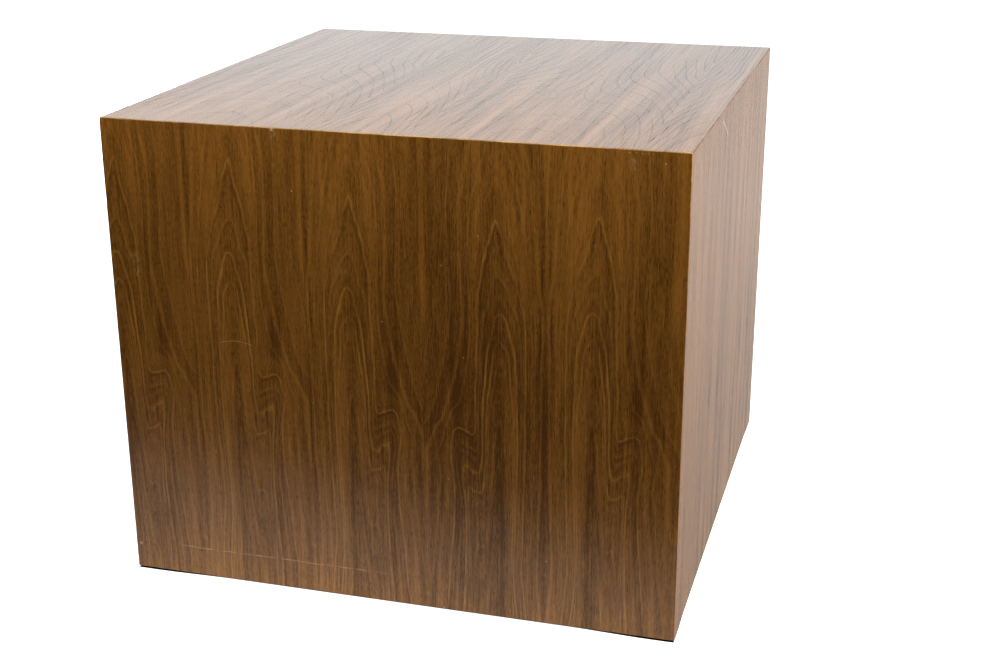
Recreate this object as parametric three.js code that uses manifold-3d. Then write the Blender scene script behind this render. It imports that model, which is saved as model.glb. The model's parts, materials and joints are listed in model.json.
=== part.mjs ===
// Museum display cube: a five-sided walnut-veneered box, open underneath.
//
// Millimetres, +Z up. The origin is on the floor, in the middle of the plan.
// The front face looks along -Y, and the right face along +X.
//
// Each of the five boards is a stack of mitred sheets: face-veneer leaves, a
// core board and a backing veneer. Splines lock the mitres. Corner posts, base
// rails and top rails stiffen the box from inside, and the posts stand on four
// nail-on glides.

import * as THREE from 'three';
import { mergeVertices } from 'three/addons/utils/BufferGeometryUtils.js';
import Module from 'manifold-3d';

// ---------------------------------------------------------------- dimensions

const WIDTH = 762; // plan is square: 30 inches each way
const BODY_HEIGHT = 640;
const GLIDE_HEIGHT = 3; // the body stands this far clear of the floor

const VENEER = 0.6; // face veneer and backing veneer
const CORE = 18;
const PANEL = VENEER + CORE + VENEER;
const GLUE_LINE = 0.15; // on each side of a mitre or a spline

// Where the leaves of a face meet, as shares of its width, left to right.
const UPRIGHT_JOINTS = [0.1453, 0.3567, 0.562, 0.7733];
const TOP_JOINTS = [0.2, 0.458, 0.729];

const SPLINE_THICK = 4;
const SPLINE_WIDE = 11;
const SPLINE_INSET = 12; // depth of the spline's centre line below a face
const SPLINE_STOP = 45; // each spline stops this far short of a corner

const POST = 38; // square section of the corner posts
const RAIL_THICK = 18;
const BASE_RAIL_HIGH = 70;
const TOP_RAIL_HIGH = 45;

const GLIDE_RADIUS = 12;
const GLIDE_FLAT_RADIUS = 8; // the part of a glide that meets the floor
const NAIL_RADIUS = 1;
const NAIL_LENGTH = 16;
const NAIL_CLEARANCE = 0.3;
const ROUND_SEGMENTS = 24;

const HALF = WIDTH / 2;
const BODY_BOTTOM = GLIDE_HEIGHT;
const BODY_TOP = GLIDE_HEIGHT + BODY_HEIGHT;
const INNER_HALF = HALF - PANEL;
const CEILING = BODY_TOP - PANEL;

// ----------------------------------------------------------------- materials

const material = (color, roughness, metalness = 0) =>
  new THREE.MeshStandardMaterial({ color, roughness, metalness });

const WALNUT = material(0x6b4426, 0.35);
const BACKER = material(0xa98a64, 0.7);
const CORE_BOARD = material(0xb9976a, 0.85);
const PLYWOOD = material(0xc8a877, 0.7);
const SOFTWOOD = material(0xd2b07c, 0.75);
const STEEL = material(0xb8bbbd, 0.35, 0.9);

// ------------------------------------------------------------------ booleans

const wasm = await Module();
wasm.setup();

function toSolid(geometry) {
  const bare = geometry.index ? geometry.clone() : geometry;
  bare.deleteAttribute('normal');
  bare.deleteAttribute('uv');
  const merged = mergeVertices(bare);
  return new wasm.Manifold(new wasm.Mesh({
    numProp: 3,
    vertProperties: merged.attributes.position.array,
    triVerts: new Uint32Array(merged.index.array),
  }));
}

function toGeometry(solid) {
  const mesh = solid.getMesh();
  const geometry = new THREE.BufferGeometry();
  geometry.setAttribute('position', new THREE.BufferAttribute(mesh.vertProperties, 3));
  geometry.setIndex(new THREE.BufferAttribute(mesh.triVerts, 1));
  geometry.computeVertexNormals();
  return geometry;
}

function cut(geometry, tools) {
  let solid = toSolid(geometry);
  for (const tool of tools) {
    solid = solid.subtract(toSolid(tool));
  }
  return toGeometry(solid);
}

// ------------------------------------------------------------- mitred sheets

// A sheet of a board, in the board's own frame: X to the right along the face,
// Y into the board, Z up the face. The sheet runs from depth `near` to depth
// `far`, and each mitred edge is cut back by the depth, so sheets of two boards
// meet on the 45 degree plane. `gap` keeps a glue line at those edges.
function mitredSheet({ left, right, bottom, top, near, far, mitred, gap = 0 }) {
  const geometry = new THREE.BoxGeometry(1, 1, 1);
  const corner = geometry.attributes.position;
  const cutBack = (edge, depth) => (mitred.includes(edge) ? depth + gap * Math.SQRT2 : 0);
  for (let i = 0; i < corner.count; i += 1) {
    const depth = corner.getY(i) < 0 ? near : far;
    const x = corner.getX(i) < 0 ? left + cutBack('left', depth) : right - cutBack('right', depth);
    const z = corner.getZ(i) < 0 ? bottom + cutBack('bottom', depth) : top - cutBack('top', depth);
    corner.setXYZ(i, x, depth, z);
  }
  geometry.computeVertexNormals();
  return geometry;
}

// One board of the box: where it is, how far it reaches, which edges are
// mitred and where its leaves meet. `place` turns the board's own frame, which
// has its outer face on Y = 0, into the box.
const SIDE_FACE = {
  bottom: BODY_BOTTOM,
  top: BODY_TOP,
  mitred: ['left', 'right', 'top'],
  joints: UPRIGHT_JOINTS,
};

const TOP_FACE = {
  bottom: -HALF,
  top: HALF,
  mitred: ['left', 'right', 'bottom', 'top'],
  joints: TOP_JOINTS,
};

function sidePlace(turns) {
  const turn = new THREE.Matrix4().makeRotationZ((turns * Math.PI) / 2);
  return turn.multiply(new THREE.Matrix4().makeTranslation(0, -HALF, 0));
}

function topPlace() {
  const tip = new THREE.Matrix4().makeRotationX(-Math.PI / 2);
  return new THREE.Matrix4().makeTranslation(0, 0, BODY_TOP).multiply(tip);
}

const BOARDS = [
  { name: 'front', face: SIDE_FACE, place: sidePlace(0) },
  { name: 'right', face: SIDE_FACE, place: sidePlace(1) },
  { name: 'rear', face: SIDE_FACE, place: sidePlace(2) },
  { name: 'left', face: SIDE_FACE, place: sidePlace(3) },
  { name: 'top', face: TOP_FACE, place: topPlace() },
];

// ------------------------------------------------------------------- splines

// A strip of rectangular section that crosses a mitre square to it. Its own
// frame has the strip along X, centred on the origin.
function splineStrip(length, wide, thick) {
  const section = new THREE.Shape();
  section.moveTo(-thick / 2, -wide / 2);
  section.lineTo(thick / 2, -wide / 2);
  section.lineTo(thick / 2, wide / 2);
  section.lineTo(-thick / 2, wide / 2);
  section.closePath();
  const strip = new THREE.ExtrudeGeometry(section, { depth: length, bevelEnabled: false });
  strip.translate(0, 0, -length / 2);
  return strip;
}

const SPLINE_HALF = HALF - SPLINE_INSET;
const UPRIGHT_SPLINE_LOW = BODY_BOTTOM + SPLINE_STOP;
const UPRIGHT_SPLINE_HIGH = BODY_TOP - SPLINE_STOP;
const TOP_SPLINE_LENGTH = WIDTH - 2 * SPLINE_STOP;

// The upright spline at the front-left corner, and the top spline over the
// front face. The other corners and edges are quarter turns of these.
function uprightSpline(wide, thick, ends) {
  const length = UPRIGHT_SPLINE_HIGH - UPRIGHT_SPLINE_LOW + 2 * ends;
  const strip = splineStrip(length, wide, thick);
  strip.rotateZ(Math.PI / 4);
  strip.translate(-SPLINE_HALF, -SPLINE_HALF, (UPRIGHT_SPLINE_LOW + UPRIGHT_SPLINE_HIGH) / 2);
  return strip;
}

function topSpline(wide, thick, ends) {
  const strip = splineStrip(TOP_SPLINE_LENGTH + 2 * ends, wide, thick);
  strip.rotateZ(Math.PI / 4);
  strip.rotateY(Math.PI / 2);
  strip.translate(0, -SPLINE_HALF, BODY_TOP - SPLINE_INSET);
  return strip;
}

// The slots of every spline, in the box's frame.
function splineSlots() {
  const slots = [];
  for (let turns = 0; turns < 4; turns += 1) {
    for (const spline of [uprightSpline, topSpline]) {
      const slot = spline(SPLINE_WIDE + 2 * GLUE_LINE, SPLINE_THICK + 2 * GLUE_LINE, GLUE_LINE);
      slots.push(slot.rotateZ((turns * Math.PI) / 2));
    }
  }
  return slots;
}

// ------------------------------------------------------------------- the box

const cube = new THREE.Group();
cube.name = 'display_cube';

function add(name, geometry, look) {
  const mesh = new THREE.Mesh(geometry, look);
  mesh.name = name;
  cube.add(mesh);
  return mesh;
}

function faceLeaves({ name, face, place }) {
  const cuts = [0, ...face.joints, 1].map((share) => -HALF + share * WIDTH);
  for (let i = 0; i + 1 < cuts.length; i += 1) {
    const outer = [];
    if (i === 0) outer.push('left');
    if (i + 2 === cuts.length) outer.push('right');
    const mitred = face.mitred.filter((edge) => edge === 'top' || edge === 'bottom').concat(outer);
    const leaf = mitredSheet({
      left: cuts[i], right: cuts[i + 1], bottom: face.bottom, top: face.top,
      near: 0, far: VENEER, mitred,
    });
    add(`${name}_veneer_leaf_${i + 1}`, leaf.applyMatrix4(place), WALNUT);
  }
}

function boardSheet({ face, place }, near, far, gap) {
  const sheet = mitredSheet({
    left: -HALF, right: HALF, bottom: face.bottom, top: face.top,
    near, far, mitred: face.mitred, gap,
  });
  return sheet.applyMatrix4(place);
}

const slots = splineSlots();
for (const board of BOARDS) {
  faceLeaves(board);
  const core = boardSheet(board, VENEER, VENEER + CORE, GLUE_LINE);
  add(`${board.name}_core_board`, cut(core, slots), CORE_BOARD);
  add(`${board.name}_backing_veneer`, boardSheet(board, VENEER + CORE, PANEL), BACKER);
}

const CORNERS = ['front_left', 'front_right', 'rear_right', 'rear_left'];
const SIDES = ['front', 'right', 'rear', 'left'];

CORNERS.forEach((corner, turns) => {
  const spline = uprightSpline(SPLINE_WIDE, SPLINE_THICK, 0);
  add(`${corner}_mitre_spline`, spline.rotateZ((turns * Math.PI) / 2), PLYWOOD);
});

SIDES.forEach((side, turns) => {
  const spline = topSpline(SPLINE_WIDE, SPLINE_THICK, 0);
  add(`${side}_top_mitre_spline`, spline.rotateZ((turns * Math.PI) / 2), PLYWOOD);
});

// ------------------------------------------------- posts, rails and glides

// A glide's profile, from the bottom of its dished foot to the nail's point.
function glideGeometry() {
  const profile = [
    new THREE.Vector2(0, 0),
    new THREE.Vector2(GLIDE_FLAT_RADIUS, 0),
  ];
  const rim = new THREE.EllipseCurve(
    GLIDE_FLAT_RADIUS, GLIDE_HEIGHT,
    GLIDE_RADIUS - GLIDE_FLAT_RADIUS, GLIDE_HEIGHT,
    -Math.PI / 2, 0,
  );
  profile.push(...rim.getPoints(6).slice(1));
  profile.push(
    new THREE.Vector2(NAIL_RADIUS, GLIDE_HEIGHT),
    new THREE.Vector2(NAIL_RADIUS, GLIDE_HEIGHT + NAIL_LENGTH - 3 * NAIL_RADIUS),
    new THREE.Vector2(0, GLIDE_HEIGHT + NAIL_LENGTH),
  );
  return new THREE.LatheGeometry(profile, ROUND_SEGMENTS);
}

function nailHole() {
  const depth = NAIL_LENGTH + NAIL_CLEARANCE;
  const hole = new THREE.CylinderGeometry(
    NAIL_RADIUS + NAIL_CLEARANCE, NAIL_RADIUS + NAIL_CLEARANCE, 2 * depth, ROUND_SEGMENTS,
  );
  hole.rotateX(Math.PI / 2);
  hole.translate(0, 0, BODY_BOTTOM);
  return hole;
}

const POST_CENTRE = INNER_HALF - POST / 2;
const POST_HEIGHT = CEILING - BODY_BOTTOM;

function postGeometry() {
  const post = new THREE.BoxGeometry(POST, POST, POST_HEIGHT);
  post.translate(0, 0, BODY_BOTTOM + POST_HEIGHT / 2);
  return cut(post, [nailHole()]);
}

CORNERS.forEach((corner, turns) => {
  const stand = new THREE.Matrix4().makeRotationZ((turns * Math.PI) / 2);
  stand.multiply(new THREE.Matrix4().makeTranslation(-POST_CENTRE, -POST_CENTRE, 0));
  add(`${corner}_corner_post`, postGeometry().applyMatrix4(stand), SOFTWOOD);
  const glide = glideGeometry().rotateX(Math.PI / 2);
  add(`${corner}_glide`, glide.applyMatrix4(stand), STEEL);
});

const RAIL_LENGTH = 2 * (INNER_HALF - POST);

function railGeometry(high, bottom, turns) {
  const rail = new THREE.BoxGeometry(RAIL_LENGTH, RAIL_THICK, high);
  rail.translate(0, -INNER_HALF + RAIL_THICK / 2, bottom + high / 2);
  return rail.rotateZ((turns * Math.PI) / 2);
}

SIDES.forEach((side, turns) => {
  add(`${side}_base_rail`, railGeometry(BASE_RAIL_HIGH, BODY_BOTTOM, turns), SOFTWOOD);
  add(`${side}_top_rail`, railGeometry(TOP_RAIL_HIGH, CEILING - TOP_RAIL_HIGH, turns), SOFTWOOD);
});

export default cube;
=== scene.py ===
"""Looks of the walnut display cube, in metres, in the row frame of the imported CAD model.

Each CAD veneer leaf is replaced by a thin closed sheet with eased and worn edges, whose
vertices carry the walnut figure as attributes; node materials turn those into colour,
gloss and bump. The boards, posts, rails, splines and glides inside get their own looks.
"""

import json
import math

import bpy
import numpy as np
from mathutils import Matrix, Vector


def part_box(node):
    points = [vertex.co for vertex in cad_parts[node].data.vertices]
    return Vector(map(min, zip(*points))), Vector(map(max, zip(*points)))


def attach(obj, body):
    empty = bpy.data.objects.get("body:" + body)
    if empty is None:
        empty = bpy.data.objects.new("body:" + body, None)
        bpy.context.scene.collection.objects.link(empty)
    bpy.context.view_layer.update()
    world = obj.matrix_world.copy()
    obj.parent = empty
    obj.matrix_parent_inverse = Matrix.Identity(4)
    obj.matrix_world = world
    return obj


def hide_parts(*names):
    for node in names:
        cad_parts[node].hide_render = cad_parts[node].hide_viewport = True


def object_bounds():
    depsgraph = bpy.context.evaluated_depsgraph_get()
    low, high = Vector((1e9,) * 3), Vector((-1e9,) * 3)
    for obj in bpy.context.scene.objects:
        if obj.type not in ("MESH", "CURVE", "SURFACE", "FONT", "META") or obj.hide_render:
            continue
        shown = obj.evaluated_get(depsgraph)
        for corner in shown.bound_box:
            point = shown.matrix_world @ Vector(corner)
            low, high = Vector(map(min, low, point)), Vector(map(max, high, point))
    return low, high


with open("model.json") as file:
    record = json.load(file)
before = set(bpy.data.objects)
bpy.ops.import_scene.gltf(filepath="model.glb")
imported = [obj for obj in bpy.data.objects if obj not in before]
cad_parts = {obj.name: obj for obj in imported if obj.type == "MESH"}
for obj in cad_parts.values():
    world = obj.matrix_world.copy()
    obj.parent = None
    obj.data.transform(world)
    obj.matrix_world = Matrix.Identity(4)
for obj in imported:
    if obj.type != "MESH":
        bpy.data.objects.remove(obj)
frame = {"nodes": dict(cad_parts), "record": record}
cad_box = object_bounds()
NODES = frame["nodes"]
MM = 0.001

HIGH_CORNER = cad_box[1]
HALF = HIGH_CORNER.x       # half of the square plan
TOP = HIGH_CORNER.z
LEAF_LOW, LEAF_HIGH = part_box("top_veneer_leaf_1")
VENEER = LEAF_HIGH.z - LEAF_LOW.z

# Colours, linear red, green and blue.
DARK_WALNUT = (0.070, 0.026, 0.0035)
LIGHT_WALNUT = (0.255, 0.100, 0.013)
GOLDEN_WALNUT = (0.42, 0.19, 0.035)
# The golden edge colour is rubbed walnut under a painted highlight.
EDGE_GOLD_HIGHLIGHT = (0.62, 0.38, 0.13)
EDGE_BROWN = (0.34, 0.17, 0.05)
EDGE_RED = (0.15, 0.055, 0.025)
SPECK = (0.46, 0.30, 0.15)
SCRATCH = (0.42, 0.33, 0.27)
# The knot colour also paints shade along the front's left edge and low down on its right edge.
KNOT_AND_EDGE_SHADE = (0.030, 0.011, 0.003)
CHIP_DARK, CHIP_LIGHT = (0.20, 0.115, 0.050), (0.52, 0.36, 0.19)
PLY_DARK, PLY_LIGHT = (0.25, 0.15, 0.07), (0.60, 0.43, 0.24)
PINE_DARK, PINE_LIGHT = (0.46, 0.26, 0.10), (0.74, 0.53, 0.29)
BACKING_DARK, BACKING_LIGHT = (0.22, 0.13, 0.065), (0.42, 0.29, 0.16)
ZINC_DARK, ZINC_LIGHT = (0.42, 0.43, 0.44), (0.72, 0.73, 0.74)


# ------------------------------------------------------------------ smooth noise

def lattice(i, j, seed):
    """A repeatable value from 0 to 1 for each pair of whole numbers."""
    x = np.sin(i * 127.1 + j * 269.5 + seed * 311.7) * 43758.5453
    return x - np.floor(x)


def noise(x, y, seed):
    """Smooth value noise from 0 to 1."""
    x, y = np.broadcast_arrays(np.asarray(x, float), np.asarray(y, float))
    i, j = np.floor(x), np.floor(y)
    u, v = x - i, y - j
    u, v = u * u * (3 - 2 * u), v * v * (3 - 2 * v)
    near = lattice(i, j, seed) * (1 - u) + lattice(i + 1, j, seed) * u
    far = lattice(i, j + 1, seed) * (1 - u) + lattice(i + 1, j + 1, seed) * u
    return near * (1 - v) + far * v


def drift(x, y, seed, octaves=3):
    """Layered noise from about -0.5 to 0.5."""
    total = sum((noise(x * 2**k, y * 2**k, seed + k) - 0.5) / 2**k for k in range(octaves))
    return total / sum(0.5**k for k in range(octaves))


def smooth_step(x):
    """From 0 to 1 with level ends, held outside that range."""
    x = np.clip(x, 0, 1)
    return x * x * (3 - 2 * x)


def soft_min(a, b, k):
    """The smaller of two values, rounded where they cross; a larger k rounds less."""
    return -np.logaddexp(-k * a, -k * b) / k


def soft_max(a, b, k):
    """The larger of two values, rounded where they cross."""
    return np.logaddexp(k * a, k * b) / k


# ------------------------------------------------------------- the walnut figure
# A figure gives the growth ring, as a running number, at a place on a leaf: across the
# grain in mm from the leaf's first edge, and along it in mm from the leaf's head.

def arched_figure(across, along, leaf):
    """The flitch of the upright faces: one tall ridge of arches with a lobe beside it."""
    across = across + 4 * drift(along / 170 + 3.1 + leaf * 0.07, across / 300, 1)
    across = across + 1.2 * drift(along / 45, across / 50 + leaf * 0.3, 8)
    along = along + 8 * drift(across / 22, along / 110 + leaf * 0.2, 10)
    ridge = np.interp(along, [0, 76, 140, 200, 240, 420, 640], [64, 66, 64, 59, 58, 61, 70])
    off = across - ridge
    crest = np.interp(
        along, [-60, 0, 76, 125, 160, 192, 206, 236, 252, 330, 390, 457, 560, 640],
        [0.8, 2.0, 3.05, 3.5, 4.0, 4.55, 4.9, 5.3, 5.65, 6.4, 6.9, 7.4, 8.4, 9.0],
    )
    peak = crest - 0.05 * (np.sqrt(off * off + 30) - 4)
    right_side = np.interp(
        off, [0, 8, 16, 22, 26, 31, 36, 43, 52, 100],
        [9, 7.4, 6, 5, 4.4, 3.2, 2, 0.9, -0.2, -4.5],
    )
    left_side = np.interp(
        -off, [0, 8, 16, 22, 27, 36, 48, 58, 80],
        [9, 7.4, 6.2, 5.2, 4, 2.6, 1, -0.2, -3],
    )
    main = soft_min(peak, np.where(off > 0, right_side, left_side), 1.4)
    lobe_at = np.interp(along, [250, 330, 361, 399, 457, 520, 640], [124, 120, 117, 111, 97, 90, 84])
    lobe_crest = np.interp(
        along, [60, 130, 200, 270, 325, 350, 363, 399, 425, 457, 520, 640],
        [-4.8, -2.8, -1.1, 0.2, 1.3, 2.3, 3.1, 4.6, 5, 5.6, 6.4, 7.6],
    )
    beside = across - lobe_at
    shelf = np.interp(
        beside, [-120, -70, -40, -22, -9, 0, 6, 12, 20, 40, 70],
        [12, 6, 1.4, 0.42, 0.1, 0, 0.35, 1.3, 2.3, 3.9, 5.9],
    )
    slant = np.interp(beside, [-120, -70, -30, 70], [8, 2.5, -1.8, 5.8])
    shelved = smooth_step((along - 305) / 50)
    return soft_max(main, lobe_crest - slant + (slant - shelf) * shelved, 2.6)


def vee_figure(across, along, leaf):
    """The flitch of the top: one long ridge whose lines point to the front."""
    across = across + 9 * drift(along / 160 + 7.7, across / 160 + leaf * 0.1, 31)
    across = across + 3.5 * drift(along / 45, across / 40 + leaf * 0.2, 33)
    ridge = np.interp(along, [0, 150, 330, 500, 762], [62, 60, 58, 64, 66])
    off = across - ridge
    near = np.exp(-(off / 45) ** 2)
    along = along + near * 30 * drift(across / 24, along / 130 + leaf * 0.15, 35)
    along = along + near * 3 * drift(across / 9, along / 70 + leaf * 0.15, 36)
    crest = np.interp(
        along, [0, 95, 130, 178, 286, 429, 467, 603, 762],
        [-1.2, -0.4, 0, 0.7, 2.8, 5.6, 6.5, 8.4, 9.8],
    )
    reach = np.where(off > 0, 60, 34)
    slope = np.where(off > 0, 0.075, 0.12)
    peak = crest - slope * reach * np.tanh(np.sqrt(off * off + 4) / reach)
    flank = np.interp(
        off, [-70, -50, -35, -20, 0, 20, 45, 70, 100, 150],
        [-1.1, 0.9, 3.3, 5.8, 9.4, 7.6, 5.6, 3.6, 1.3, -2.2],
    )
    return soft_min(peak, flank, 1.2)


def stains(across, along, leaf):
    """How dark the heart streaks of an upright leaf are, from 0 to 1."""
    wander = across + 3 * drift(along / 120, leaf * 0.6, 61)
    gap = 1 - smooth_step((along - 270) / 60)
    seam_streak = 0.5 * np.exp(-((wander - 5) / 2.2) ** 2) * smooth_step((along - 10) / 60)
    seam_streak = seam_streak * (1 - 0.7 * smooth_step((along - 340) / 80))
    trough_streak = 0.6 * np.exp(-((wander - 104) / 3.2) ** 2) * gap
    blot = 0.75 * np.exp(-((wander - 115) / 10) ** 2 - ((along - 318) / 38) ** 2)
    inner = 0.25 * np.exp(-((wander - 62) / 9) ** 2) * smooth_step((along - 260) / 60)
    thin = smooth_step((drift(wander / 4.5, along / 420 + leaf * 0.07, 63, 2) - 0.12) / 0.25)
    return np.clip(seam_streak + trough_streak + blot + inner + 0.28 * thin, 0, 1)


# ------------------------------------------------------------------ faces of the cube

def axes(right, up, out, centre):
    """The matrix from a face's own frame (right, up, out) to the row frame."""
    m = Matrix((right, up, out)).transposed().to_4x4()
    m.translation = centre
    return m


X, Y, Z = Vector((1, 0, 0)), Vector((0, 1, 0)), Vector((0, 0, 1))
FACES = {
    "front": axes(X, Z, -Y, Vector((0, -HALF, 0))),
    "right": axes(Y, Z, X, Vector((HALF, 0, 0))),
    "rear": axes(-X, Z, Y, Vector((0, HALF, 0))),
    "left": axes(-Y, Z, -X, Vector((-HALF, 0, 0))),
    "top": axes(X, Y, Z, Vector((0, 0, TOP))),
}
# Each leaf of a face: whether it is turned over, and how far its figure has drifted along
# the grain, in mm. The figure of the top's leaves doesn't drift.
LEAVES = {
    "front": [(0, -23), (0, -33), (0, 0), (1, 15), (0, 2)],
    "right": [(1, 60), (0, 70), (1, 85), (0, 95), (1, 110)],
    "rear": [(0, 150), (1, 160), (0, 170), (1, 182), (0, 190)],
    "left": [(0, 230), (1, 240), (0, 255), (1, 266), (0, 275)],
    "top": [(0, 0), (1, 0), (0, 0), (1, 0)],
}

FLITCH = 161.0             # width of a whole leaf of the upright faces, in mm
TOP_FLITCH = 206.5         # and of the top

GRID_ACROSS = 3.2 * MM     # spacing of a leaf's points, across and along the face
GRID_ALONG = 4 * MM
MARGIN = 3 * MM            # flat strip beside a rounded edge
ARC = [math.radians(a) for a in (45, 33.75, 22.5, 11.25, 0)]
ARRIS = 0.8 * MM           # how far an unworn edge is rubbed round
MOST_WORN = 1.8 * MM
FIGURE_STEP = 0.5 * MM     # half the span over which the rings' slope is taken
SAME_PLACE = 1e-6


def grid_places(low, high, step, round_low, round_high):
    """Places from low to high, and each one's angle round the arris at either end."""
    inner_low = low + (MARGIN if round_low else 0)
    inner_high = high - (MARGIN if round_high else 0)
    count = max(2, round((inner_high - inner_low) / step))
    places = list(np.linspace(inner_low, inner_high, count + 1))
    angles = [0.0] * len(places)
    if round_low:
        places = [low] * len(ARC) + places
        angles = [-a for a in ARC] + angles
    if round_high:
        places = places + [high] * len(ARC)
        angles = angles + ARC[::-1]
    return np.array(places), np.array(angles)


# Places where an edge has been knocked: (edge, place along it in m, half length, extra mm).
KNOCKS = [
    ("front top", -0.143, 0.005, 1.0), ("front top", 0.318, 0.014, 0.5),
    ("front top", -0.352, 0.006, 0.8), ("front top", 0.10, 0.008, 0.5),
    ("front top", 0.222, 0.006, 0.6), ("right top", -0.28, 0.006, 0.7),
    ("right top", 0.06, 0.008, 0.5), ("front right", 0.60, 0.010, 0.8),
    ("front right", 0.565, 0.006, 0.6), ("front left", 0.535, 0.006, 0.9),
    ("left top", 0.12, 0.007, 0.6), ("rear top", -0.2, 0.009, 0.6),
    ("rear right", 0.40, 0.008, 0.6), ("rear left", 0.22, 0.007, 0.6),
]


def edge_radius(edge, place):
    """How far the arris of one edge is rubbed round, in metres, at places along it."""
    seed = 80 + sum(ord(c) for c in edge)
    radius = ARRIS * (1 + 0.5 * drift(place / 0.02, place * 0, seed))
    ends = (-HALF, HALF) if edge.endswith("top") else (TOP,)
    for end in ends:
        radius = radius + 0.8 * MM * np.exp(-((place - end) / 0.004) ** 2)
    for knocked, centre, half, extra in KNOCKS:
        if knocked == edge:
            radius = radius + extra * MM * np.exp(-((place - centre) / half) ** 2)
    return np.minimum(radius, MOST_WORN)


def ragged_foot(face, x):
    """How far the bottom edge of the upright veneer is broken away, in metres."""
    seed = 90 + ord(face[0])
    nibble = smooth_step((noise(x / 0.006, x * 0, seed) - 0.45) / 0.5)
    nibble = nibble * noise(x / 0.06, x * 0, seed + 1)
    chip = 0.0
    if face == "front":
        chip = 1.2 * np.exp(-((x - 0.071) / 0.003) ** 2)
    return (0.9 * nibble + chip) * MM


def face_edges(face, u, w):
    """The names of a face's low-u, high-u, low-w and high-w edges, and places along them."""
    if face == "top":
        return ("left top", w), ("right top", w), ("front top", u), ("rear top", u)
    low, high = {
        "front": ("front left", "front right"), "right": ("front right", "rear right"),
        "rear": ("rear right", "rear left"), "left": ("rear left", "front left"),
    }[face]
    along_top = u if face in ("front", "right") else -u
    return (low, w), (high, w), None, (f"{face} top", along_top)


def leaf_figure(face, number, u0, u1, turned, shift):
    """A function giving mm across and along the grain, and the ring, at points of a face."""
    first = face != "top" and number == 0
    edge = u1 if turned else u0 - (FLITCH * MM - (u1 - u0) if first else 0)
    if face == "top" and number == 0:
        edge = u0 - TOP_FLITCH * MM + (u1 - u0)

    def at(x, y):
        across = (edge - x) / MM if turned else (x - edge) / MM
        if face == "top":
            along = (y + HALF) / MM
            return across, along, vee_figure(across, along, number)
        along = (TOP - y) / MM - shift
        return across, along, arched_figure(across, along, number)

    return at


def new_piece(name, mesh, look, stands_for=None):
    """A visible piece on the body, in place of the CAD node that it stands for."""
    mesh.materials.append(look)
    piece = bpy.data.objects.new(name, mesh)
    bpy.context.scene.collection.objects.link(piece)
    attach(piece, "root")
    if stands_for:
        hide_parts(stands_for)


def leaf_sheet(face, u0, u1, w0, w1):
    """Points and faces of a leaf in its face's frame: a fine grid with a plain back."""
    edge_low, edge_high = u0 < -HALF + MM, u1 > HALF - MM
    us, ua = grid_places(u0, u1, GRID_ACROSS, edge_low, edge_high)
    ws, wa = grid_places(w0, w1, GRID_ALONG, face == "top", True)
    u, w = np.meshgrid(us, ws)
    a, b = np.meshgrid(ua, wa)
    near_u = (np.abs(u) > HALF - SAME_PLACE) & (edge_low | edge_high)
    near_w = (w > w1 - SAME_PLACE) | ((w < w0 + SAME_PLACE) & (face == "top"))
    low_u, high_u, low_w, high_w = face_edges(face, u, w)
    ru = np.where(u < 0, edge_radius(*low_u), edge_radius(*high_u))
    rw = edge_radius(*high_w)
    if low_w is not None:
        rw = np.where(w < 0, edge_radius(*low_w), rw)
    inset_u = np.where(near_u, ru * (1 - np.cos(a)), 0)
    inset_w = np.where(near_w, rw * (1 - np.cos(b)), 0)
    sin45 = math.sin(math.pi / 4)
    back_u = np.where(near_u, ru * (1 - np.sin(np.abs(a))) + inset_w * np.sin(np.abs(a)) / sin45, 0)
    back_w = np.where(near_w, rw * (1 - np.sin(np.abs(b))) + inset_u * np.sin(np.abs(b)) / sin45, 0)
    x = u - np.sign(u) * back_u
    y = np.where(w > (w0 + w1) / 2, w - back_w, w + back_w)
    if face != "top":
        y[0] += ragged_foot(face, x[0])
    depth = inset_u + inset_w
    rows, cols = x.shape

    points = np.stack([x, y, -depth], -1).reshape(-1, 3)
    index = np.arange(rows * cols).reshape(rows, cols)
    quads = np.stack([index[:-1, :-1], index[:-1, 1:], index[1:, 1:], index[1:, :-1]], -1)
    faces = [tuple(q) for q in quads.reshape(-1, 4).tolist()]
    t = VENEER
    bu0, bu1 = u0 + (t if edge_low else 0), u1 - (t if edge_high else 0)
    bw0, bw1 = w0 + (t if face == "top" else 0), w1 - t
    base = rows * cols
    back = np.array([(bu0, bw0, -t), (bu1, bw0, -t), (bu1, bw1, -t), (bu0, bw1, -t)])
    points = np.concatenate([points, back])
    b0, b1, b2, b3 = base, base + 1, base + 2, base + 3
    faces.append((b3, b2, b1, b0))
    faces.append(tuple([b0, b1] + index[0, ::-1].tolist()))
    faces.append(tuple([b1, b2] + index[::-1, -1].tolist()))
    faces.append(tuple([b2, b3] + index[-1, :].tolist()))
    faces.append(tuple([b3, b0] + index[:, 0].tolist()))
    return points, faces


def leaf_layers(face, number, u0, u1, points):
    """The values that the veneer looks read at each point of a leaf."""
    turned, shift = LEAVES[face][number]
    figure_at = leaf_figure(face, number, u0, u1, turned, shift)
    x, y = points[:, 0], points[:, 1]
    across, along, ring = figure_at(x, y)
    rise = figure_at(x + FIGURE_STEP, y)[2] - figure_at(x - FIGURE_STEP, y)[2]
    climb = figure_at(x, y + FIGURE_STEP)[2] - figure_at(x, y - FIGURE_STEP)[2]
    steep = np.hypot(rise, climb)
    tint = np.full(len(points), lattice(number * 3.7, list(LEAVES).index(face), 71) - 0.5)
    dark = stains(across, along, number)
    head = HALF if face == "top" else TOP
    from_edges = (HALF + x, HALF - x, head - y)
    from_edges = [(gap + points[:, 2]) / MM for gap in from_edges]
    flitch = np.full(len(points), list(LEAVES).index(face) * 3 + number * 0.12)
    return {
        "figure": (ring, across, along),
        "surface": (steep, tint, dark),
        "edges": from_edges,
        "flitch": (flitch, flitch, flitch),
    }


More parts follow.
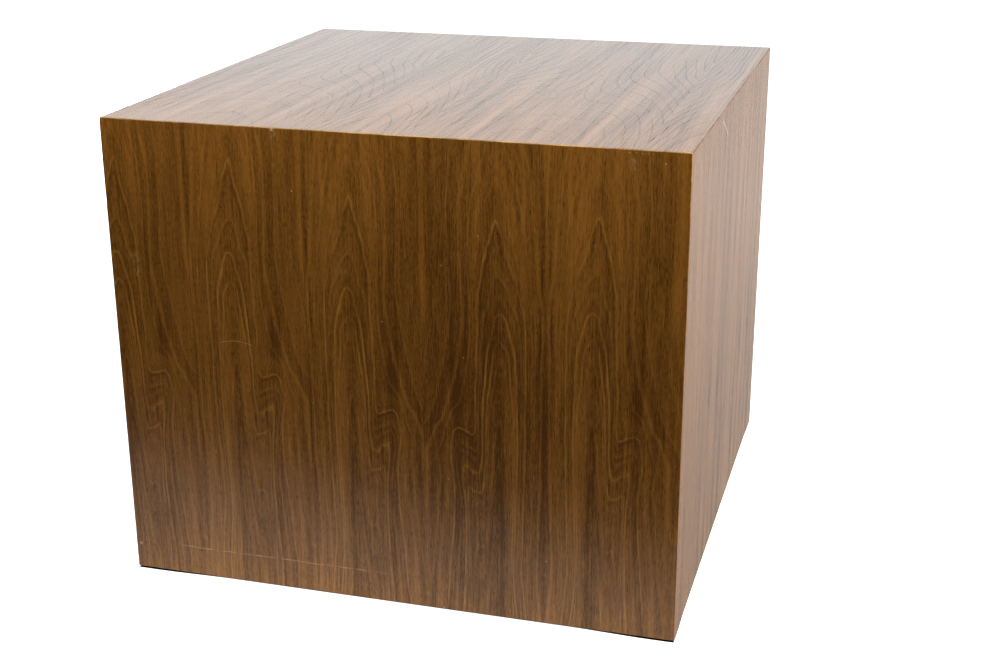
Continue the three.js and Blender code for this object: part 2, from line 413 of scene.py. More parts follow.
def make_leaf(face, number, look):
    """The detailed sheet that stands for one CAD leaf."""
    name = f"{face}_veneer_leaf_{number + 1}"
    place = FACES[face]
    to_face = place.inverted()
    corners = [to_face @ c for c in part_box(name)]
    u0, u1 = sorted(c.x for c in corners)
    w0, w1 = sorted(c.y for c in corners)
    points, faces = leaf_sheet(face, u0, u1, w0, w1)
    mesh = bpy.data.meshes.new(name + "_fine")
    mesh.from_pydata([tuple(p) for p in points.tolist()], [], faces)
    for title, values in leaf_layers(face, number, u0, u1, points).items():
        layer = mesh.attributes.new(title, "FLOAT_VECTOR", "POINT")
        layer.data.foreach_set("vector", np.stack(values, -1).astype(np.float32).ravel())
    mesh.transform(place)
    for polygon in mesh.polygons:
        polygon.use_smooth = True
    mesh.set_sharp_from_angle(angle=math.radians(40))
    mesh.update()
    new_piece(name + "_fine", mesh, look, name)


# ----------------------------------------------------------------------- materials

MAP_BOUNDS = ("From Min", "From Max", "To Min", "To Max")


class Nodes:
    """A short way to write a node tree."""

    def __init__(self, owner):
        owner.use_nodes = True
        self.owner = owner
        self.tree = owner.node_tree

    def add(self, kind, **settings):
        node = self.tree.nodes.new(kind)
        for key, value in settings.items():
            setattr(node, key, value)
        return node

    def put(self, value, socket):
        if isinstance(value, bpy.types.NodeSocket):
            self.tree.links.new(value, socket)
        elif value is not None:
            socket.default_value = value

    def math(self, operation, a, b=None, c=None, clamp=False):
        node = self.add("ShaderNodeMath", operation=operation, use_clamp=clamp)
        for value, socket in zip((a, b, c), node.inputs):
            self.put(value, socket)
        return node.outputs[0]

    def combine(self, x, y, z=0.0):
        node = self.add("ShaderNodeCombineXYZ")
        for value, socket in zip((x, y, z), node.inputs):
            self.put(value, socket)
        return node.outputs[0]

    def separate(self, vector):
        node = self.add("ShaderNodeSeparateXYZ")
        self.put(vector, node.inputs[0])
        return node.outputs

    def distance(self, a, b):
        node = self.add("ShaderNodeVectorMath", operation="DISTANCE")
        self.put(a, node.inputs[0])
        self.put(b, node.inputs[1])
        return node.outputs["Value"]

    def attribute(self, name):
        return self.add("ShaderNodeAttribute", attribute_name=name).outputs["Vector"]

    def place(self):
        return self.add("ShaderNodeTexCoord").outputs["Object"]

    def noise(self, vector, scale=1.0, detail=2.0, roughness=0.5, kind="3D", w=None):
        node = self.add("ShaderNodeTexNoise", noise_dimensions=kind)
        if kind != "1D":
            self.put(vector, node.inputs["Vector"])
        if w is not None:
            self.put(w, node.inputs["W"])
        node.inputs["Scale"].default_value = scale
        node.inputs["Detail"].default_value = detail
        node.inputs["Roughness"].default_value = roughness
        return node.outputs[0]

    def remap(self, value, low, high, to_low=0.0, to_high=1.0, smooth=True):
        node = self.add("ShaderNodeMapRange", clamp=True)
        node.interpolation_type = "SMOOTHSTEP" if smooth else "LINEAR"
        self.put(value, node.inputs["Value"])
        for bound, key in zip((low, high, to_low, to_high), MAP_BOUNDS):
            self.put(bound, node.inputs[key])
        return node.outputs[0]

    def mix(self, factor, a, b):
        node = self.add("ShaderNodeMix", data_type="RGBA")
        self.put(factor, node.inputs["Factor"])
        for value, socket in ((a, node.inputs[6]), (b, node.inputs[7])):
            self.put(value if isinstance(value, bpy.types.NodeSocket) else (*value, 1.0), socket)
        return node.outputs[2]

    def bump(self, height, distance):
        node = self.add("ShaderNodeBump")
        node.inputs["Strength"].default_value = 1.0
        node.inputs["Distance"].default_value = distance
        self.put(height, node.inputs["Height"])
        return node.outputs[0]

    def finish(self, colour, roughness, normal, **constants):
        shader = self.tree.nodes["Principled BSDF"]
        self.put(colour, shader.inputs["Base Color"])
        self.put(roughness, shader.inputs["Roughness"])
        self.put(normal, shader.inputs["Normal"])
        for key, value in constants.items():
            self.put(value, shader.inputs[key.replace("_", " ")])
        return self.owner


def material_nodes(name):
    """Nodes of a new material."""
    return Nodes(bpy.data.materials.new(name))


def veneer_nodes(name):
    """Nodes of a veneer look, with the number that tells the leaves' noise apart."""
    n = material_nodes(name)
    n.flitch = n.add("ShaderNodeAttribute", attribute_name="flitch").outputs["Fac"]
    return n


# Rings that carry a golden line on the upright faces, and how strong each one is.
GOLD_RINGS = [
    (3.0, 0.9), (3.35, 0.2), (4.7, 1.0), (5.3, 0.8), (5.65, 0.3), (1.4, 0.4), (0.3, 0.4),
    (6.45, 0.55), (6.9, 0.3), (7.5, 0.4), (-1.2, 0.3), (-2.6, 0.22), (8.3, 0.3), (-4.0, 0.2),
    (3.85, 0.5),
]


def grain(n, across, along, wide, long, detail=3, seed=0.0):
    """Noise drawn out along the grain, centred on zero."""
    z = n.math("ADD", n.flitch, seed)
    at = n.combine(n.math("MULTIPLY", across, 1 / wide), n.math("MULTIPLY", along, 1 / long), z)
    return n.math("SUBTRACT", n.noise(at, 1, detail, 0.55), 0.5)


def total(n, *terms):
    """The sum of (value, weight) pairs."""
    result = 0.0
    for value, weight in terms:
        result = n.math("MULTIPLY_ADD", value, weight, result)
    return result


def dots(n, u, v, marks):
    """A mask of round marks, each (u, v, radius, strength), in mm."""
    mask = 0.0
    for mark_u, mark_v, radius, strength in marks:
        away = n.distance(n.combine(u, v), (mark_u, mark_v, 0))
        mask = n.math("MAXIMUM", mask, n.remap(away, radius * 0.2, radius, strength, 0.0))
    return mask


def edge_wear_and_light(n, colour, rough, edges):
    """Colour beside each edge: rubbed finish, with a painted highlight where the edge colour is
    golden and painted shade where it is dark: (distance in mm, edge colour, strength).
    """
    uneven = n.math("MULTIPLY", n.noise(n.place(), 90, 3, 0.6), -1.5)
    rubbed = n.remap(n.noise(n.place(), 22, 3, 0.6), 0.35, 0.6, 0.3, 1.0)
    for gap, edge_colour, strength in edges:
        worn = n.remap(n.math("ADD", gap, uneven), 0.0, 0.7, strength, 0.0)
        worn = n.math("MULTIPLY", worn, rubbed)
        colour = n.mix(worn, colour, edge_colour)
        rough = n.math("MULTIPLY_ADD", worn, 0.35, rough)
    return colour, rough


# Marks seen on the front, from its left and top edges in mm: (u, v, radius, strength).
PIN_KNOTS = [
    (163, 107, 1.6, 1.0), (323, 122, 1.5, 0.9), (527, 114, 1.5, 1.0), (646, 117, 1.6, 1.0),
    (648, 116, 3.4, 0.35), (2.5, 107, 2.6, 0.8), (459, 639, 2.0, 0.7),
]
LIGHT_SPECKS = [
    (261, 79, 1.4, 0.8), (376, 241, 1.3, 0.6), (368, 295, 1.2, 0.5), (277, 363, 1.2, 0.5),
    (132, 449, 1.3, 0.5), (461, 449, 1.3, 0.5), (483, 279, 1.3, 0.6), (592, 550, 1.3, 0.7),
    (455, 160, 1.2, 0.5), (503, 119, 1.4, 0.7),
    (238, 2.5, 3.0, 0.9), (688, 4, 1.2, 0.8), (696, 3.5, 1.0, 0.8), (703, 4.5, 1.1, 0.7),
    (710, 4, 1.0, 0.8), (716, 4.5, 1.0, 0.6), (731, 15, 1.4, 0.9), (7, 604, 3.4, 0.4),
    (452, 639, 1.6, 0.8),
]
SMUDGES = [
    (240, 8, 9.0, 0.22), (693, 18, 9.0, 0.25), (33, 183, 12.0, 0.16), (37, 200, 10.0, 0.2),
    (320, 178, 16.0, 0.1),
]
LOW_SCRATCH = 600.6              # its distance from the top
HIGH_SCRATCH = (172, 287.0)      # the middle of its bow
RIGHT_SCRATCH = (239, 12.0)      # on the right face, its front end


def gap_to(n, value, place):
    """How far a value is from a place, either way."""
    return n.math("ABSOLUTE", n.math("SUBTRACT", value, place))


def smudges(n, u, v):
    """Pale smudges with strayed and patchy outlines."""
    stray_u = n.noise(n.combine(u, v, 7.0), 0.14, 3, 0.6)
    stray_u = n.math("MULTIPLY_ADD", stray_u, 14.0, n.math("ADD", u, -7.0))
    stray_v = n.noise(n.combine(u, v, 9.0), 0.10, 3, 0.6)
    stray_v = n.math("MULTIPLY_ADD", stray_v, 22.0, n.math("ADD", v, -11.0))
    patches = n.combine(n.math("MULTIPLY", u, 0.35), n.math("MULTIPLY", v, 0.12))
    patchy = n.remap(n.noise(patches, 1, 3), 0.42, 0.62)
    return n.math("MULTIPLY", dots(n, stray_u, stray_v, SMUDGES), patchy)


def low_scratch(n, u, v):
    """A long level scratch near the foot of the front, broken here and there."""
    broken = n.remap(n.noise(n.combine(n.math("MULTIPLY", u, 0.05), v), 1, 2), 0.42, 0.56)
    sway = n.math("MULTIPLY", n.noise(n.combine(n.math("MULTIPLY", u, 0.02), 3.0), 1, 1), 3.0)
    gap = gap_to(n, n.math("ADD", v, sway), LOW_SCRATCH)
    mask = n.math("MULTIPLY", n.remap(gap, 0.3, 1.2, 0.36, 0.0), broken)
    ends = n.math("MULTIPLY", n.remap(u, 68, 75), n.remap(u, 340, 395, 1.0, 0.0))
    return n.math("MULTIPLY", mask, ends)


def high_scratch(n, u, v):
    """A short scratch bowed downwards at its ends, at mid height on the front."""
    middle, crown = HIGH_SCRATCH
    off = gap_to(n, u, middle)
    bow = n.math("MULTIPLY_ADD", n.math("MULTIPLY", off, off), 0.008, crown)
    mask = n.remap(gap_to(n, v, bow), 0.2, 0.8, 0.3, 0.0)
    return n.math("MULTIPLY", mask, n.remap(off, 20, 27, 1.0, 0.0))


def marks_of_the_front(n, colour, u, v):
    """Pin knots, specks of dust and filler, smudges, and the two scratches."""
    colour = n.mix(dots(n, u, v, PIN_KNOTS), colour, KNOT_AND_EDGE_SHADE)
    light = n.math("MAXIMUM", dots(n, u, v, LIGHT_SPECKS), smudges(n, u, v))
    scratches = n.math("MAXIMUM", low_scratch(n, u, v), high_scratch(n, u, v))
    return n.mix(n.math("MAXIMUM", light, scratches), colour, SPECK)


def marks_of_the_right(n, colour, u, v):
    """One faint bowed scratch near the top."""
    start, head = RIGHT_SCRATCH
    past = n.math("SUBTRACT", u, start)
    bow = n.math("MULTIPLY_ADD", past, 0.36, head)
    bow = n.math("MULTIPLY_ADD", n.math("MULTIPLY", past, 0.0025), past, bow)
    mask = n.math("MULTIPLY", n.remap(gap_to(n, v, bow), 0.6, 2.4, 0.5, 0.0), n.remap(u, 236, 246))
    mask = n.math("MULTIPLY", mask, n.remap(u, 292, 304, 1.0, 0.0))
    return n.mix(mask, colour, SCRATCH)


def upright_edges(n, from_left, from_right, from_top, front):
    """The worn edges of an upright face, which on the front also carry a painted highlight and
    painted shade: (distance in mm, edge colour, strength).
    """
    if not front:
        return [
            (from_left, EDGE_BROWN, 0.75), (from_right, EDGE_BROWN, 0.8), (from_top, EDGE_RED, 1.0),
        ]
    # The front's right edge: a painted golden highlight at the top, rubbed brown below, painted dark
    # shade low down. Its left edge is painted dark shade, its top edge rubbed finish under a painted
    # golden highlight, stronger to the right.
    right_edge_wear_and_light = n.mix(n.remap(from_top, 20, 180), EDGE_GOLD_HIGHLIGHT, EDGE_BROWN)
    right_edge_wear_and_light = n.mix(n.remap(from_top, 360, 560), right_edge_wear_and_light, KNOT_AND_EDGE_SHADE)
    return [
        (from_left, KNOT_AND_EDGE_SHADE, 0.75), (from_right, right_edge_wear_and_light, 0.8),
        (from_top, EDGE_GOLD_HIGHLIGHT, n.remap(from_left, 80, 480, 0.4, 0.9)),
    ]


LEVEL = 0.54             # middle tone of the upright faces
GOLD_SHARE = 0.38        # how strongly the golden lines are mixed in
LACQUER = 0.24           # roughness of the satin lacquer


def walnut_upright(name, contrast=1.0, relief=0.00004, gleam=0.15, marks=None, front=False):
    """Satin-lacquered walnut of the four upright faces: golden lines on brown."""
    n = veneer_nodes(name)
    ring, across, along = n.separate(n.attribute("figure"))
    steep, tint, dark = n.separate(n.attribute("surface"))
    from_left, from_right, from_top = n.separate(n.attribute("edges"))
    fleck = grain(n, across, along, 0.9, 7, 2, 16.0)
    fibre = grain(n, across, along, 0.9, 40)
    strand = grain(n, across, along, 3.2, 160, 3, 4.0)
    ribbon = grain(n, across, along, 16, 380, 2, 8.0)
    bands = n.math("SUBTRACT", n.noise(None, 0.8, 2, 0.5, "1D", w=ring), 0.5)
    fine_bands = n.math("SUBTRACT", n.noise(None, 3.2, 2, 0.6, "1D", w=ring), 0.5)
    pores = n.remap(grain(n, across, along, 0.8, 9, 0, 2.0), 0.16, 0.26)
    wobble = n.math("MULTIPLY", grain(n, across, along, 14, 45, 3, 12.0), 0.45)
    ring_here = n.math("ADD", ring, wobble)
    line = 0.0
    shade = 0.0
    for golden, strength in GOLD_RINGS:
        away = n.math("SUBTRACT", ring_here, golden)
        away = n.math("DIVIDE", away, n.math("MAXIMUM", steep, 0.012))
        line = n.math("MAXIMUM", line, n.remap(n.math("ABSOLUTE", away), 0.2, 1.9, strength, 0.0))
        inside = n.remap(n.math("ABSOLUTE", n.math("SUBTRACT", away, 5.0)), 0.5, 6.0, strength, 0.0)
        shade = n.math("MAXIMUM", shade, inside)
    fade = n.remap(grain(n, across, along, 30, 75, 3, 5.0), -0.16, 0.06, 0.3, 1.0)
    line = n.math("MULTIPLY", line, n.math("MULTIPLY", fade, n.remap(steep, 0.12, 0.35, 1.0, 0.45)))
    line = n.math("MULTIPLY", line, n.remap(fibre, -0.2, 0.12, 0.5, 1.0))
    tone = total(
        n, (fleck, 1.1), (fibre, 1.1), (strand, 0.6), (ribbon, 1.0), (bands, 0.6),
        (fine_bands, 0.35), (tint, 0.16), (dark, -0.45), (shade, -0.2), (pores, -0.35),
    )
    level = LEVEL
    # The front's middle tone is painted darker round a place right of the middle and a little below
    # half height, and lighter all round it: painted shade and light.
    if front:
        painted_shade_spot = n.combine(n.math("DIVIDE", from_left, 330), n.math("DIVIDE", from_top, 260))
        from_painted_shade_spot = n.distance(painted_shade_spot, (1.6, 1.4, 0))
        level = n.remap(from_painted_shade_spot, 0.1, 1.2, 0.385, 0.55)
    tone = n.math("MULTIPLY_ADD", tone, contrast, level, True)
    colour = n.mix(tone, DARK_WALNUT, LIGHT_WALNUT)
    colour = n.mix(n.math("MULTIPLY", line, GOLD_SHARE), colour, GOLDEN_WALNUT)
    if marks:
        colour = marks(n, colour, from_left, from_top)
    rough = n.math("MULTIPLY_ADD", fibre, 0.12, LACQUER)
    edges = upright_edges(n, from_left, from_right, from_top, front)
    colour, rough = edge_wear_and_light(n, colour, rough, edges)
    height = total(n, (fleck, 0.4), (fibre, 0.6), (pores, -0.8), (strand, 0.5))
    normal = n.bump(height, relief)
    shine = total(
        n, (fleck, 0.7), (fibre, 0.7), (strand, 1.1), (ribbon, 1.1), (dark, -0.35), (bands, 0.7),
    )
    shine = n.remap(shine, -0.5, 0.5, 0.5 - gleam, 0.5 + gleam, False)
    return n.finish(colour, rough, normal, IOR=1.5, Specular_IOR_Level=shine)


def walnut_top(name):
    """The same walnut on the top, where darker and duller lines follow the rings."""
    n = veneer_nodes(name)
    ring, across, along = n.separate(n.attribute("figure"))
    steep, tint, _ = n.separate(n.attribute("surface"))
    from_left, from_right, from_back = n.separate(n.attribute("edges"))
    fibre = grain(n, across, along, 1.0, 55)
    strand = grain(n, across, along, 3.2, 160, 3, 4.0)
    ribbon = grain(n, across, along, 18, 600, 3, 8.0)
    bands = n.math("SUBTRACT", n.noise(None, 1.1, 2, 0.5, "1D", w=ring), 0.5)
    wobble = n.math("MULTIPLY", grain(n, across, along, 10, 45, 3, 12.0), 0.3)
    ring_here = n.math("ADD", ring, wobble)
    part = n.math("FRACT", ring_here)
    away = n.math("MINIMUM", part, n.math("SUBTRACT", 1.0, part))
    away = n.math("DIVIDE", away, n.math("MAXIMUM", steep, 0.02))
    weight = n.noise(None, 1.0, 0, 0.5, "1D", w=n.math("ROUND", ring_here))
    line = n.math("MULTIPLY", n.remap(away, 0.2, 1.7, 1.0, 0.0), n.remap(weight, 0.3, 0.6, 0.3, 1.0))
    fade = n.remap(grain(n, across, along, 70, 240, 2, 5.0), -0.14, 0.08, 0.45, 1.0)
    line = n.math("MULTIPLY", line, fade)
    pores = n.remap(grain(n, across, along, 1.0, 10, 1, 2.0), 0.12, 0.24)
    tone = total(
        n, (fibre, 1.3), (strand, 1.2), (ribbon, 1.4), (bands, 0.5), (tint, 0.2), (line, -0.36),
        (pores, -0.3),
    )
    # Painted light and shade: the top's tone is lighter at its front edge and darker towards the
    # back.
    tone = n.math("ADD", tone, n.remap(along, 0, 600, 0.60, 0.42), None, True)
    colour = n.mix(tone, DARK_WALNUT, LIGHT_WALNUT)
    height = total(n, (fibre, 0.6), (pores, -0.5), (line, -0.06), (strand, 0.5))
    normal = n.bump(height, 0.00006)
    shine = total(n, (fibre, 0.9), (strand, 1.0), (ribbon, 0.7), (line, -0.20), (pores, -0.15))
    ragged = n.math("MULTIPLY_ADD", ribbon, 160.0, from_left)
    shine = n.math("ADD", shine, n.remap(ragged, -10, 90, -0.12, 0.0))
    shine = n.math("ADD", shine, n.remap(along, 0, 420, 0.47, 0.55), None, True)
    rough = total(n, (fibre, 0.10), (line, 0.05), (pores, 0.05))
    rough = n.math("ADD", rough, LACQUER)
    # The front edge of the top: rubbed finish under a painted golden highlight, stronger to the
    # right.
    front_edge_wear_and_light = n.remap(from_left, 80, 480, 0.4, 0.85)
    edges = [
        (along, EDGE_GOLD_HIGHLIGHT, front_edge_wear_and_light), (from_right, EDGE_RED, 0.9),
        (from_left, EDGE_BROWN, 0.8), (from_back, EDGE_BROWN, 0.8),
    ]
    colour, rough = edge_wear_and_light(n, colour, rough, edges)
    return n.finish(colour, rough, normal, IOR=1.5, Specular_IOR_Level=shine)


LEAF_LOOKS = {
    "front": walnut_upright("walnut_veneer_front", marks=marks_of_the_front, front=True),
    "right": walnut_upright("walnut_veneer_right", 1.2, 0.00015, 0.44, marks_of_the_right),
    "rear": walnut_upright("walnut_veneer_rear"),
    "left": walnut_upright("walnut_veneer_left"),
    "top": walnut_top("walnut_veneer_top"),
}
for face, leaves in LEAVES.items():
    for number in range(len(leaves)):
        make_leaf(face, number, LEAF_LOOKS[face])


def chipboard(name):
    """Pressed wood chips in mixed shades, with the gaps between them in relief."""
    n = material_nodes(name)
    at = n.place()
    chips = n.add("ShaderNodeTexVoronoi", feature="F1")
    warped = n.add("ShaderNodeVectorMath", operation="MULTIPLY_ADD")
    n.put(n.add("ShaderNodeTexNoise").outputs["Color"], warped.inputs[0])
    warped.inputs[1].default_value = (0.002, 0.002, 0.002)
    n.put(at, warped.inputs[2])
    n.put(warped.outputs[0], chips.inputs["Vector"])
    chips.inputs["Scale"].default_value = 420
    shade = n.separate(chips.outputs["Color"])[0]
    dust = n.noise(at, 1500, 3, 0.6)
    tone = n.math("ADD", n.math("MULTIPLY", shade, 0.7), n.math("MULTIPLY", dust, 0.4), None, True)
    colour = n.mix(tone, CHIP_DARK, CHIP_LIGHT)
    gap = n.remap(chips.outputs["Distance"], 0.35, 0.75, 1.0, 0.0)
    return n.finish(colour, n.remap(shade, 0, 1, 0.7, 0.95), n.bump(gap, 0.0003))


def timber(name, axis, dark, light, ring_mm, roughness):
    """Unfinished wood whose grain runs along one axis of the cube."""
    n = material_nodes(name)
    spread = [1 / (ring_mm * MM)] * 3
    spread[axis] = 3.0
    x, y, z = n.separate(n.place())
    at = n.combine(*(n.math("MULTIPLY", c, k) for c, k in zip((x, y, z), spread)))
    rings = n.noise(at, 0.35, 2, 0.5)
    rings = n.math("PINGPONG", n.math("MULTIPLY", rings, 9.0), 0.5)
    spread[axis] = 25.0
    thin = [k if i == axis else 1400.0 for i, k in enumerate(spread)]
    at = n.combine(*(n.math("MULTIPLY", c, k) for c, k in zip((x, y, z), thin)))
    fibre = n.noise(at, 1, 3, 0.6)
    tone = n.math("ADD", rings, n.math("MULTIPLY", fibre, 0.9))
    tone = n.math("SUBTRACT", tone, 0.25, None, True)
    rough = n.remap(fibre, 0.3, 0.7, roughness - 0.1, roughness)
    return n.finish(n.mix(tone, dark, light), rough, n.bump(fibre, 0.00015))


def plies(name):
    """Thin plywood: pale and dark plies in turn."""
    n = material_nodes(name)
    x, y, z = n.separate(n.place())
    ply = n.math("PINGPONG", n.math("ADD", x, n.math("ADD", y, z)), 0.0013)
    fibre = n.noise(n.place(), 900, 3, 0.6)
    tone = n.remap(ply, 0.0004, 0.0008, 0.0, 0.6)
    tone = n.math("ADD", tone, n.math("MULTIPLY", fibre, 0.4), None, True)
    return n.finish(n.mix(tone, PLY_DARK, PLY_LIGHT), 0.8, n.bump(fibre, 0.0001))


def plated_steel(name):
    """Zinc-plated steel with fine scuffs."""
    n = material_nodes(name)
    cloud = n.noise(n.place(), 250, 4, 0.6)
    scuff = n.noise(n.place(), 2500, 2, 0.7)
    colour = n.mix(cloud, ZINC_DARK, ZINC_LIGHT)
    rough = n.math("MULTIPLY_ADD", scuff, 0.3, 0.2)
    return n.finish(colour, rough, n.bump(scuff, 0.00003), Metallic=1.0)


AXES = "xyz"
PINE = [timber(f"softwood_{a}", i, PINE_DARK, PINE_LIGHT, 9, 0.85) for i, a in enumerate(AXES)]
BACKING = [
    timber(f"backing_veneer_{a}", i, BACKING_DARK, BACKING_LIGHT, 14, 0.75)
    for i, a in enumerate(AXES)
]
BOARD = chipboard("core_board")
PLIES = plies("spline_plywood")
STEEL = plated_steel("glide_steel")


def long_axis(node_name):
    """The axis along which a node is longest: 0, 1 or 2."""
    low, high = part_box(node_name)
    size = high - low
    return max(range(3), key=lambda i: size[i])


def inner_look(node_name, slot):
    """The look of a piece inside the veneer."""
    if slot == "softwood":
        return PINE[long_axis(node_name)]
    if slot == "backing_veneer":
        return BACKING[1 if node_name.startswith("top") else 2]
    return {"core_board": BOARD, "spline_plywood": PLIES, "glide_steel": STEEL}[slot]


EASED = 1.6 * MM          # radius of the rubbed corners of posts and rails
TIMBER_ROWS = 48


def eased_timber(node_name):
    """A sawn post or rail with its long corners rubbed round."""
    low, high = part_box(node_name)
    axis = long_axis(node_name)
    one, two = [i for i in range(3) if i != axis]
    outline = []
    for su, sv, start in ((1, 1, 0), (-1, 1, 90), (-1, -1, 180), (1, -1, 270)):
        cu = (high[one] if su > 0 else low[one]) - su * EASED
        cv = (high[two] if sv > 0 else low[two]) - sv * EASED
        for degrees in (0, 30, 60, 90):
            a = math.radians(start + degrees)
            outline.append((cu + EASED * math.cos(a), cv + EASED * math.sin(a)))
    points = []
    for row in np.linspace(low[axis], high[axis], TIMBER_ROWS):
        for a, b in outline:
            point = [0.0, 0.0, 0.0]
            point[axis], point[one], point[two] = row, a, b
            points.append(tuple(point))
    ring = len(outline)
    faces = []
    for k in range(TIMBER_ROWS - 1):
        for i in range(ring):
            j = (i + 1) % ring
            faces.append((k * ring + i, k * ring + j, (k + 1) * ring + j, (k + 1) * ring + i))
    faces.append(tuple(range(ring))[::-1])
    faces.append(tuple((TIMBER_ROWS - 1) * ring + i for i in range(ring)))
    if axis == 1:
        faces = [f[::-1] for f in faces]
    mesh = bpy.data.meshes.new(node_name + "_eased")
    mesh.from_pydata(points, [], faces)
    for face in mesh.polygons:
        face.use_smooth = True
    mesh.set_sharp_from_angle(angle=math.radians(35))
    new_piece(node_name + "_eased", mesh, PINE[axis], node_name)


SCREW_RADIUS, SCREW_HEIGHT = 4.0 * MM, 1.8 * MM
RECESS_ARM, RECESS_REACH, RECESS_DEPTH = 0.5 * MM, 2.3 * MM, 1.0 * MM


def screw_head(centre, out):
    """Points and faces of a domed head with a cross recess, on a surface facing out."""
    turns, rings = 40, 14
    side = out.orthogonal().normalized()
    other = out.cross(side)
    points, faces = [], []
    for k in range(rings + 1):
        radius = SCREW_RADIUS * k / rings
        for i in range(turns):
            angle = 2 * math.pi * i / turns
            a, b = radius * math.cos(angle), radius * math.sin(angle)
            height = SCREW_HEIGHT * (1 - (k / rings) ** 2.6)
            arm = min(abs(a), abs(b))
            if arm < RECESS_ARM and radius < RECESS_REACH:
                height -= RECESS_DEPTH
            points.append(tuple(centre + side * a + other * b + out * height))
    for k in range(rings):
        for i in range(turns):
            j = (i + 1) % turns
            faces.append((k * turns + i, (k + 1) * turns + i, (k + 1) * turns + j, k * turns + j))
    return points, faces


def rail_screws(node_name):
    """The heads of three screws on the open side of a rail."""
    low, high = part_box(node_name)
    axis = long_axis(node_name)
    across = 1 - axis
    middle = (low + high) / 2
    inward = -1 if middle[across] > 0 else 1
    out = Vector((0, 0, 0))
    out[across] = inward
    points, faces = [], []
    for share in (0.12, 0.5, 0.88):
        centre = middle.copy()
        centre[axis] = low[axis] + share * (high[axis] - low[axis])
        centre[across] = high[across] if inward > 0 else low[across]
        head, skin = screw_head(centre, out)
        faces += [tuple(i + len(points) for i in f) for f in skin]
        points += head
    mesh = bpy.data.meshes.new(node_name + "_screws")
    mesh.from_pydata(points, [], faces)
    new_piece(node_name + "_screws", mesh, STEEL)


for sub in frame["record"]["subparts"]:
    if sub["material_slot"] == "softwood":
        eased_timber(sub["node"])
        if sub["node"].endswith("rail"):
            rail_screws(sub["node"])

for sub in frame["record"]["subparts"]:
    if sub["material_slot"] != "walnut_veneer":
        node = NODES[sub["node"]]
        node.data.materials.clear()
        node.data.materials.append(inner_look(sub["node"], sub["material_slot"]))


# --------------------------------------------------------- stage, lights and camera

FLOOR_REACH = 12.0
LIGHT_CREEP = 0.0036      # how far light reaches in under the cube, away from its corners


def floor_look():
    """White, with one glow for the camera, one that only the lacquer mirrors as a painted
    reflection, and one that lights the cube as a lamp would; black under the cube as a painted
    shadow.
    """
    n = material_nodes("stage_floor")
    tree = n.tree
    tree.nodes.remove(tree.nodes["Principled BSDF"])
    x, y, _ = n.separate(n.place())
    beyond_x = n.math("SUBTRACT", n.math("ABSOLUTE", x), HALF)
    beyond_y = n.math("SUBTRACT", n.math("ABSOLUTE", y), HALF)
    beyond = n.math("MAXIMUM", beyond_x, beyond_y)
    from_corner = n.math("MULTIPLY", n.math("ADD", beyond_x, beyond_y), -1.0)
    light_creep = n.remap(from_corner, 0.03, 0.15, 0.0, LIGHT_CREEP)
    # Painted shadow: the floor is black under the cube, with light creeping in a little away from
    # its corners.
    outside = n.remap(n.math("ADD", beyond, light_creep), -0.001, 0.001)
    # Painted reflection: a glow only the lacquer sees, bright just in front of the cube and fading
    # out, and brighter towards the back beside and behind it.
    in_front = n.math("SUBTRACT", -HALF, y)
    mirrored_front = n.remap(n.math("MULTIPLY_ADD", x, 0.18, in_front), 0.10, 0.43, 0.76, 0.0)
    mirrored_side = n.remap(y, -HALF, 1.9, 0.42, 0.84, False)
    ahead = n.math("GREATER_THAN", in_front, 0.0)
    mirrored_front = n.math("MULTIPLY", mirrored_front, ahead)
    mirrored_side = n.math("MULTIPLY", mirrored_side, n.math("SUBTRACT", 1.0, ahead))
    mirrored = n.math("ADD", mirrored_front, mirrored_side)
    # A glow that lights the cube like a lamp, strongest close to it and on its left, and dark under
    # it.
    lit = n.remap(beyond, 0.03, 0.40, 2.35, 0.1)
    lit = n.math("MULTIPLY", lit, n.remap(x, -0.5, 0.5, 1.15, 0.72))
    lit = n.math("MULTIPLY", lit, outside)
    path = n.add("ShaderNodeLightPath").outputs
    seen = n.math("MULTIPLY", path["Is Camera Ray"], outside)
    mirrored = n.math("MULTIPLY", path["Is Glossy Ray"], mirrored)
    lit = n.math("MULTIPLY", path["Is Diffuse Ray"], lit)
    white = n.add("ShaderNodeBsdfDiffuse")
    n.put(n.mix(seen, (0.0, 0.0, 0.0), (0.9, 0.9, 0.9)), white.inputs["Color"])
    glow = n.add("ShaderNodeEmission")
    n.put(n.math("ADD", seen, n.math("ADD", mirrored, lit)), glow.inputs["Strength"])
    both = n.add("ShaderNodeAddShader")
    n.put(white.outputs[0], both.inputs[0])
    n.put(glow.outputs[0], both.inputs[1])
    n.put(both.outputs[0], tree.nodes["Material Output"].inputs[0])
    return n.owner


def make_floor():
    """The floor, a square sheet level with the glides."""
    mesh = bpy.data.meshes.new("stage_floor")
    r = FLOOR_REACH
    mesh.from_pydata([(-r, -r, 0), (r, -r, 0), (r, r, 0), (-r, r, 0)], [], [(0, 1, 2, 3)])
    floor = bpy.data.objects.new("stage_floor", mesh)
    bpy.context.scene.collection.objects.link(floor)
    mesh.materials.append(floor_look())


WORLD_SEEN, WORLD_MIRRORED, WORLD_LIGHT = 1.2, 1.92, 0.18


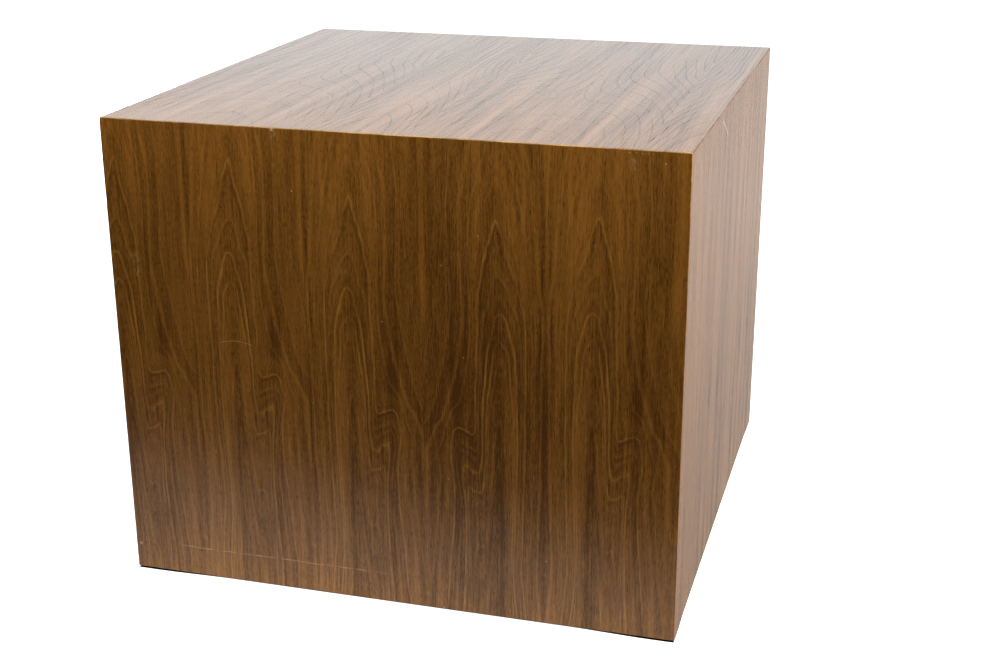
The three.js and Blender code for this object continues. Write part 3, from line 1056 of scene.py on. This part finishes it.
def make_world():
    """White all round: one strength to the camera, one to the lacquer, one as light."""
    world = bpy.data.worlds.new("studio")
    bpy.context.scene.world = world
    n = Nodes(world)
    light = n.tree.nodes["Background"]
    light.inputs["Color"].default_value = (1, 1, 1, 1)
    path = n.add("ShaderNodeLightPath").outputs
    x, y, z = n.separate(n.add("ShaderNodeTexCoord").outputs["Generated"])
    # The lacquer mirrors a dark front and a bright back, brighter low down and to the left.
    left_sky = n.remap(x, -0.45, -0.1, WORLD_MIRRORED, WORLD_MIRRORED * 0.85, False)
    low_sky = n.remap(z, 0.14, 0.28, left_sky, WORLD_MIRRORED * 0.6, False)
    mirrored = n.remap(y, -0.3, 0.2, 0.25, low_sky, False)
    strength = WORLD_LIGHT
    for key, value in (("Is Glossy Ray", mirrored), ("Is Camera Ray", WORLD_SEEN)):
        pick = n.add("ShaderNodeMix")
        n.put(path[key], pick.inputs[0])
        n.put(strength, pick.inputs[2])
        n.put(value, pick.inputs[3])
        strength = pick.outputs[0]
    n.put(strength, light.inputs["Strength"])


def make_softbox(name, place, aim, width, height, watts):
    """A rectangular lamp that the camera and the lacquer don't see."""
    data = bpy.data.lights.new(name, "AREA")
    data.shape = "RECTANGLE"
    data.size = width
    data.size_y = height
    data.energy = watts
    lamp = bpy.data.objects.new(name, data)
    bpy.context.scene.collection.objects.link(lamp)
    lamp.location = place
    lamp.rotation_euler = (Vector(aim) - Vector(place)).to_track_quat("-Z", "Y").to_euler()
    lamp.visible_camera = False
    lamp.visible_glossy = False


LENS = 56.02                                # in mm, for a sensor 36 mm wide
CAMERA_PLACE = (0.6468, -2.1248, 1.0511)
CAMERA_TURN = (70.273, 0.148, 15.856)       # in degrees


def make_camera():
    data = bpy.data.cameras.new("camera")
    data.sensor_width = 36.0
    data.lens = LENS
    camera = bpy.data.objects.new("camera", data)
    bpy.context.scene.collection.objects.link(camera)
    camera.location = CAMERA_PLACE
    camera.rotation_euler = [math.radians(a) for a in CAMERA_TURN]
    bpy.context.scene.camera = camera


make_floor()
make_world()
make_softbox("softbox_right", (3.2, 0.2, 1.4), (0.3, 0, 0.35), 2.2, 2.2, 195)
make_softbox("softbox_over", (0.0, -1.2, 3.2), (0, 0, 0.4), 2.4, 1.8, 6)
for side, watts in ((-1, 6.4), (1, 4.4)):
    place, aim = (0.42 * side, -0.85, 1.25), (0.3 * side, -0.3, 0.6)
    make_softbox(f"softbox_edge_{side}", place, aim, 0.5, 0.25, watts)
make_softbox("softbox_rear", (-2.4, 2.6, 0.45), (0, 0, 0.3), 2.0, 0.4, 75)
make_camera()
bpy.context.scene.view_settings.view_transform = "Standard"
bpy.context.scene.view_settings.look = "None"
